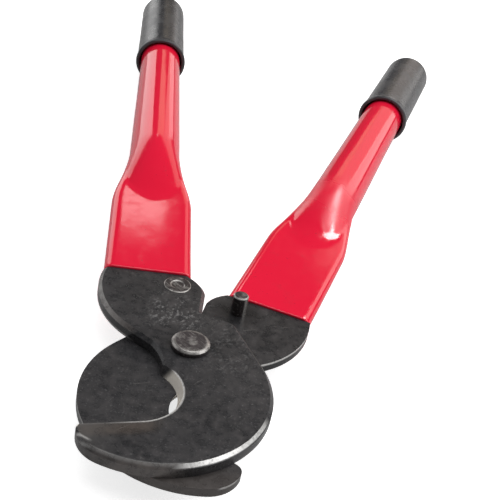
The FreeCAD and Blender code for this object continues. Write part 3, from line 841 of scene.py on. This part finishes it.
def turned_steel(name, dark, patina, centre, seed, rubbed, rim=NO_RIM, strike_wear_and_highlight=None):
    """Turned part: rings from the tool, a dulled face and edges rubbed bright.

    The face is rubbed beyond the radius "rim", and the side that faces the strike direction is
    rubbed bright too, a streak that also serves as a painted highlight.
    """
    s = Shader(name)
    nz = s.parts(s.facing)[2]
    radius = s.vector("DISTANCE", s.vector("MULTIPLY", s.place, (1, 1, 0)), (*centre, 0))
    rings = s.math("SINE", s.times(radius, 9.0))
    scratch = s.noise(1.0, 3, 0.6, s.turned(40), seed, (0.12, 1.8, 1))
    face = s.ramp(nz, 0.90, 0.995)
    edge = s.times(s.ramp(nz, 0.10, 0.5), s.math("SUBTRACT", 1.0, face))
    edge = s.largest(edge, s.times(face, s.ramp(radius, rim - 0.5, rim + 0.3), 0.8))
    mottle = s.noise(2.4, 4, 0.6, None, seed + 3)
    tone = s.mix(mottle, dark, patina)
    tone = s.mix(s.times(s.ramp(scratch, 0.55, 0.72), 0.35), tone, TURNED_BRIGHT)
    cloud = s.ramp(s.noise(4.2, 4, 0.7, None, seed + 10), 0.46, 0.66)
    tone = s.mix(s.times(cloud, face, 0.35), tone, TURNED_BRIGHT)
    worn = s.times(edge, rubbed, s.ramp(s.noise(3.5, 3, 0.6, None, seed + 6), 0.28, 0.5))
    if strike_wear_and_highlight:
        # the struck side is rubbed bright, and the streak also stands in for a painted highlight
        hit = s.ramp(s.vector("DOT_PRODUCT", s.facing, (*strike_wear_and_highlight, 0)), 0.84, 0.96)
        worn = s.largest(worn, s.times(hit, s.ramp(mottle, 0.25, 0.5, 0.5, 0.9)))
    height = s.math("ADD", s.times(rings, 0.25), s.times(scratch, 0.8))
    s.set(Base_Color=s.mix(worn, tone, TURNED_BRIGHT), Metallic=s.blend(worn, 0.55, 1.0),
          Roughness=s.blend(worn, s.ramp(mottle, 0.2, 0.8, 0.32, 0.5), 0.22),
          Normal=s.bump(height, 0.03))
    return s.material


def plain_metal(name, dark, light, roughness, seed):
    """Small metal part with mottled plating, fine scratches and uneven gloss."""
    s = Shader(name)
    mottle = s.noise(3.0, 4, 0.6, None, seed)
    fine = s.noise(0.35, 3, 0.6, None, seed + 4)
    scratch = s.noise(1.0, 2, 0.5, s.turned(15), seed + 2, (0.1, 2.0, 0.5))
    colour = s.mix(mottle, dark, light)
    height = s.math("ADD", fine, s.times(scratch, 0.7))
    s.set(Base_Color=colour, Metallic=1.0,
          Roughness=s.ramp(mottle, 0.2, 0.8, roughness, roughness + 0.15),
          Normal=s.bump(height, 0.03))
    return s.material


def nylon(name, seed):
    """Off-white nylon, slightly cloudy."""
    s = Shader(name)
    cloud = s.noise(2.0, 3, 0.5, None, seed)
    s.set(Base_Color=s.mix(cloud, (0.62, 0.60, 0.52), (0.74, 0.72, 0.64)), Roughness=0.42,
          Subsurface_Weight=0.2, Subsurface_Scale=MM,
          Normal=s.bump(s.noise(0.4, 2, 0.5, None, seed), 0.02))
    return s.material


def floor_paper(name):
    """Pale studio paper with a barely visible tooth, lifted to near white for the camera."""
    s = Shader(name)
    fibre = s.noise(1.2, 3, 0.6, None, 2.0)
    cloud = s.noise(240, 2, 0.5, None, 5.0)
    rays = s.node("ShaderNodeLightPath").outputs
    paper = s.mix(cloud, (0.86, 0.86, 0.86), (0.90, 0.90, 0.90))
    # a dimmer floor in mirror reflections keeps the tubes' outlines crisp
    paper = s.mix(rays["Is Glossy Ray"], paper, (0.60, 0.60, 0.60))
    s.set(Base_Color=paper, Roughness=0.85, Specular_IOR_Level=0.2, Normal=s.bump(fibre, 0.05),
          Emission_Color=(1.0, 1.0, 1.0),
          Emission_Strength=s.times(rays["Is Camera Ray"], 0.75))
    return s.material


# ---------------------------------------------------------------- pieces

def build_blades():
    for node, body, side, seed in (("upper_blade", "upper_half", 1.0, 3.0),
                                   ("lower_blade", "lower_half", -1.0, 41.0)):
        mesh = clean_copy(node, node + "_forging")
        piece = finish_piece(node + "_forging", mesh, body, [node],
                             forged_steel(node + "_steel", side, seed))
        round_edges(piece, FORGED_ROUNDING)


def build_handles():
    for side, body, seed in (("left", "upper_half", 2.0), ("right", "lower_half", 7.0)):
        rings = handle_rings(seed, CREASE[side])
        caps = cap_rings(seed)
        if side == "right":
            rings, caps = half_turn(rings), half_turn(caps)
        mesh = ring_mesh(side + "_painted_handle", rings, joined=True)
        finish_piece(side + "_painted_handle", mesh, body,
                     [side + "_handle_tube", side + "_tang_rivets"],
                     red_enamel(side + "_enamel", side, seed))
        mesh = ring_mesh(side + "_moulded_cap", caps)
        finish_piece(side + "_moulded_cap", mesh, body, [side + "_grip_cap"],
                     vinyl(side + "_vinyl", seed, CAP_LIGHTNESS[side]))


def build_pivot():
    bolt = ring_mesh("pivot_bolt_turned", bolt_rings())
    finish_piece("pivot_bolt_turned", bolt, "upper_half", ["pivot_bolt"],
                 turned_steel("bolt_finish", (0.042, 0.039, 0.041), (0.082, 0.066, 0.070),
                              (0, 0), 4.0, 0.5, rim=7.1))
    nut = clean_copy("lock_nut", "lock_nut_plated")
    zinc = plain_metal("zinc_plate", (0.50, 0.50, 0.47), (0.68, 0.68, 0.66), 0.24, 3.0)
    piece = finish_piece("lock_nut_plated", nut, "upper_half", ["lock_nut"],
                         zinc)
    round_edges(piece, NUT_ROUNDING)
    # name, dark and light colour, roughness and seed of the pieces that keep the frame's shape
    finishes = {
        "thrust_washer": ("washer_steel", (0.28, 0.28, 0.29), (0.44, 0.44, 0.45), 0.28, 5.0),
        "disc_spring": ("spring_steel", (0.09, 0.09, 0.11), (0.20, 0.19, 0.20), 0.3, 6.0),
        "pivot_bushing": ("bronze", (0.42, 0.26, 0.11), (0.58, 0.38, 0.18), 0.32, 7.0),
    }
    finishes = {node: plain_metal(*finish) for node, finish in finishes.items()}
    finishes["lock_nut_insert"] = nylon("nylon_insert", 8.0)
    for node, material in finishes.items():
        NODES[node].data.materials.clear()
        NODES[node].data.materials.append(material)


def build_pins():
    # the lower pin's side is rubbed where it strikes the upper blade as the jaws open; the bright
    # streak there is also a painted highlight
    for node, body, head_up, strike_wear_and_highlight in (("upper_stop_pin", "upper_half", True, None),
                                        ("lower_stop_pin", "lower_half", False, (0.93, -0.37))):
        mesh = ring_mesh(node + "_turned", pin_rings(node, head_up))
        finish_piece(node + "_turned", mesh, body, [node],
                     turned_steel(node + "_finish", (0.035, 0.033, 0.034), (0.06, 0.045, 0.045),
                                  centre_xy(node), 11.0, 0.6, strike_wear_and_highlight=strike_wear_and_highlight))


FLOOR_HALF_SIZE = 6000.0


def build_floor():
    """Pale floor that touches the lowest point of the cutter."""
    half = FLOOR_HALF_SIZE * MM
    mesh = bpy.data.meshes.new("floor")
    corners = [(-half, -half, 0), (half, -half, 0), (half, half, 0), (-half, half, 0)]
    mesh.from_pydata(corners, [], [(0, 1, 2, 3)])
    floor = bpy.data.objects.new("floor", mesh)
    floor.location.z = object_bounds()[0].z
    mesh.materials.append(floor_paper("floor_paper"))
    bpy.context.scene.collection.objects.link(floor)


# ---------------------------------------------------------------- light and camera

REFLECTOR_RANGE = 2500.0
REFLECTOR_AIM = (0, 100, SHEAR)
WORLD_COLOUR = (0.94, 0.95, 1.0, 1)
WORLD_STRENGTH = 0.07


def area_light(name, place, target, size, power, colour=(1, 1, 1)):
    """Rectangular lamp at a place, aimed at a target. Its power is in watts."""
    data = bpy.data.lights.new(name, "AREA")
    data.shape = "RECTANGLE"
    data.size, data.size_y = size[0] * MM, size[1] * MM
    data.energy = power
    data.color = colour
    light = bpy.data.objects.new(name, data)
    light.location = Vector(place) * MM
    aim = Vector(target) * MM - light.location
    light.rotation_euler = aim.to_track_quat("-Z", "Y").to_euler()
    bpy.context.scene.collection.objects.link(light)
    return light


def reflector(name, azimuth, elevation, size, radiance, colour=(1, 1, 1)):
    """Distant panel. Its direction, from +Y towards +X and up, and its size are in degrees."""
    centre = Vector(REFLECTOR_AIM)
    turn, rise = math.radians(azimuth), math.radians(elevation)
    away = Vector((math.sin(turn) * math.cos(rise), math.cos(turn) * math.cos(rise),
                   math.sin(rise)))
    width, height = (2 * REFLECTOR_RANGE * math.tan(math.radians(angle) / 2) for angle in size)
    power = radiance * math.pi * width * height * MM * MM
    return area_light(name, centre + away * REFLECTOR_RANGE, centre, (width, height), power,
                      colour)


def only_on(light, piece):
    """Let a light show in the gloss of one piece alone."""
    lit = bpy.data.collections.new(light.name + "_receivers")
    lit.objects.link(bpy.data.objects[piece])
    light.light_linking.receiver_collection = lit
    light.visible_diffuse = False


def build_lights():
    """A dim studio with two lamps above and panels that show as highlights in the gloss."""
    world = bpy.data.worlds.new("studio")
    bpy.context.scene.world = world
    world.use_nodes = True
    background = world.node_tree.nodes["Background"]
    background.inputs["Color"].default_value = WORLD_COLOUR
    background.inputs["Strength"].default_value = WORLD_STRENGTH
    area_light("key", (450, 400, 1400), (0, 100, 0), (1300, 1000), 9.0)
    area_light("overhead", (-100, -100, 1500), (0, 120, 0), (1500, 1200), 8.0)
    reflector("left_window", -34.5, 14.5, (23, 29), 2.0, (1.0, 0.98, 0.96))
    reflector("left_card", -80, 28, (40, 30), 0.9)
    reflector("socket_window", -9.8, 30.9, (3.0, 2.9), 3.2, (1.0, 0.98, 0.95))
    reflector("right_window", 36, 27, (16, 46), 2.0, (1.0, 0.95, 0.90))
    reflector("right_card", 90, 38, (50, 24), 2.8)
    reflector("warm_strip", -3.2, 24, (12.5, 9), 1.1, (1.0, 0.82, 0.60))
    reflector("warm_fill", 16.5, 22, (23, 22), 0.95, (1.0, 0.85, 0.74))
    reflector("low_strip", 11, 7, (9, 10), 1.4, (1.0, 0.96, 0.94))
    corner = reflector("corner_window", 25, 44.5, (12.5, 15), 15)
    only_on(corner, "right_painted_handle")


# the camera's direction from its target and its roll are in degrees
CAMERA_AZIMUTH, CAMERA_ELEVATION, CAMERA_ROLL = 1.96, 32.33, 11.54
CAMERA_TARGET = (14.13, 98.24)
CAMERA_DISTANCE = 610.9
SENSOR_WIDTH = 36.0
# the focal length is 1179.4 pixels in a picture that is 500 pixels wide
FOCAL_LENGTH = SENSOR_WIDTH * 1179.4 / 500


def build_camera():
    """Camera at the photo's viewing angle."""
    data = bpy.data.cameras.new("camera")
    camera = bpy.data.objects.new("camera", data)
    bpy.context.scene.collection.objects.link(camera)
    azimuth, elevation, roll = (math.radians(angle) for angle in
                                (CAMERA_AZIMUTH, CAMERA_ELEVATION, CAMERA_ROLL))
    target = at_level(*CAMERA_TARGET, 0)
    back = Vector((math.sin(azimuth) * math.cos(elevation),
                   -math.cos(azimuth) * math.cos(elevation), math.sin(elevation)))
    right = Vector((math.cos(azimuth), math.sin(azimuth), 0))
    up = back.cross(right)
    # the camera is rolled, so that the cutter leans to the right in the picture
    rolled_right = right * math.cos(roll) + up * math.sin(roll)
    rolled_up = up * math.cos(roll) - right * math.sin(roll)
    turn = Matrix((rolled_right, rolled_up, back)).transposed()
    place = (target + back * CAMERA_DISTANCE) * MM
    camera.matrix_world = Matrix.Translation(place) @ turn.to_4x4()
    data.sensor_width = SENSOR_WIDTH
    data.lens = FOCAL_LENGTH
    data.clip_start, data.clip_end = 0.02, 40.0
    bpy.context.scene.camera = camera


build_blades()
build_handles()
build_pivot()
build_pins()
build_floor()
build_lights()
build_camera()
bpy.context.scene.view_settings.view_transform = "Standard"
